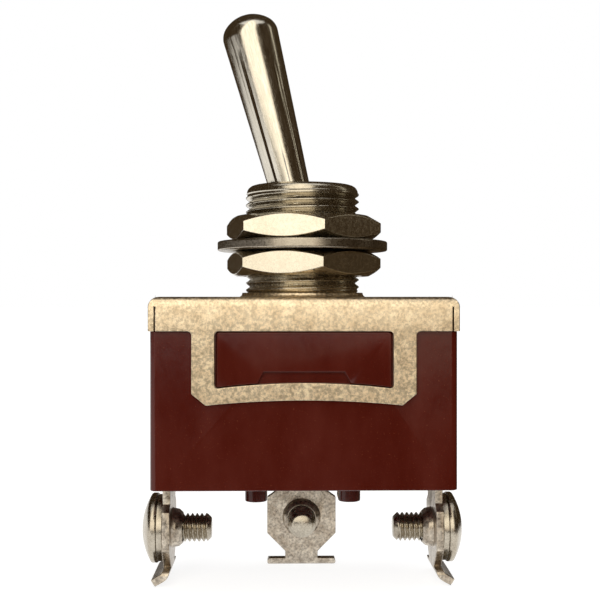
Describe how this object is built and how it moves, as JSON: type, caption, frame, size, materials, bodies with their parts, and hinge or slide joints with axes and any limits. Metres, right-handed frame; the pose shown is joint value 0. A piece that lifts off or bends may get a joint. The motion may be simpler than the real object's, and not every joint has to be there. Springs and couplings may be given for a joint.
{
  "type": "toggle switch",
  "caption": "Heavy-duty panel toggle switch with a bat lever, threaded bush with nuts and washer, pressed frame around a moulded body, and screw terminals.",
  "frame": {"origin": "on the bush axis, in the plane of the frame's top face, which is also the centre of the overall box", "axes": "+Z along the bush, out of the panel; +X along the switch's width, to the right-hand screw terminal; +Y to the back, where the middle terminal's screw head is"},
  "size_m": [0.0338, 0.018, 0.0599],
  "materials": {
    "nickel_plated_steel": "satin",
    "nickel_plated_brass": "satin",
    "bakelite": "satin",
    "fibre_sheet": "matte",
    "silver_contact": "satin",
    "steel": "satin",
    "moulded_nylon": "matte"
  },
  "bodies": {
    "base": {"frame": "nickel_plated_steel", "bushing": "nickel_plated_brass", "housing": "bakelite", "insulator_sheet": "fibre_sheet", "terminal_left": "nickel_plated_brass", "terminal_right": "nickel_plated_brass", "terminal_common": "nickel_plated_brass", "fixed_contact_left": "silver_contact", "fixed_contact_right": "silver_contact", "lever_pin": "steel", "rocker_pin": "steel"},
    "lever": {"lever": "nickel_plated_brass", "plunger_spring": "steel"},
    "plunger": {"plunger": "moulded_nylon"},
    "rocker": {"rocker": "nickel_plated_brass", "moving_contact_left": "silver_contact", "moving_contact_right": "silver_contact"},
    "upper_nut": {"upper_nut": "nickel_plated_steel"},
    "lower_nut": {"lower_nut": "nickel_plated_steel", "panel_washer": "nickel_plated_steel"},
    "screw_washer_left": {"screw_washer_left": "nickel_plated_steel"},
    "terminal_screw_left": {"terminal_screw_left": "nickel_plated_steel"},
    "screw_washer_right": {"screw_washer_right": "nickel_plated_steel"},
    "terminal_screw_right": {"terminal_screw_right": "nickel_plated_steel"},
    "screw_washer_common": {"screw_washer_common": "nickel_plated_steel"},
    "terminal_screw_common": {"terminal_screw_common": "nickel_plated_steel"}
  },
  "joints": [
    {"name": "lever_tilt", "type": "hinge", "parent": "base", "child": "lever", "pos_m": [0, 0, 0.0063], "axis": [0, 1, 0], "range_deg": [0, 28.8]},
    {"name": "rocker_tilt", "type": "hinge", "parent": "base", "child": "rocker", "pos_m": [0, 0, -0.0142], "axis": [0, 1, 0], "range_deg": [-12, 0]},
    {"name": "plunger_slide", "type": "slide", "parent": "lever", "child": "plunger", "axis": [-0.2487, 0, 0.9686], "range_m": [0, 0.0009], "stiffness_N_per_m": 1000, "springref_m": -0.003, "deforming": ["plunger_spring"]},
    {"name": "upper_nut_slide", "type": "slide", "parent": "base", "child": "upper_nut", "axis": [0, 0, 1], "range_m": [0, 0.0026]},
    {"name": "lower_nut_slide", "type": "slide", "parent": "base", "child": "lower_nut", "axis": [0, 0, 1], "range_m": [-0.0014, 0]},
    {"name": "screw_left_out", "type": "slide", "parent": "base", "child": "screw_washer_left", "axis": [-1, 0, 0], "range_m": [0, 0.002]},
    {"name": "screw_left_turn", "type": "hinge", "parent": "screw_washer_left", "child": "terminal_screw_left", "pos_m": [0, 0, -0.02445], "axis": [-1, 0, 0], "range_deg": [0, 1440]},
    {"name": "screw_right_out", "type": "slide", "parent": "base", "child": "screw_washer_right", "axis": [1, 0, 0], "range_m": [0, 0.002]},
    {"name": "screw_right_turn", "type": "hinge", "parent": "screw_washer_right", "child": "terminal_screw_right", "pos_m": [0, 0, -0.02445], "axis": [1, 0, 0], "range_deg": [0, 1440]},
    {"name": "screw_common_out", "type": "slide", "parent": "base", "child": "screw_washer_common", "axis": [0, 1, 0], "range_m": [0, 0.002]},
    {"name": "screw_common_turn", "type": "hinge", "parent": "screw_washer_common", "child": "terminal_screw_common", "pos_m": [0, 0, -0.02445], "axis": [0, 1, 0], "range_deg": [0, 1440]}
  ],
  "couplings": [
    {"joint": "rocker_tilt", "follows": "lever_tilt", "ratio": -0.41667},
    {"joint": "screw_left_turn", "follows": "screw_left_out", "rad_per_m": 12566},
    {"joint": "screw_right_turn", "follows": "screw_right_out", "rad_per_m": 12566},
    {"joint": "screw_common_turn", "follows": "screw_common_out", "rad_per_m": 12566}
  ]
}
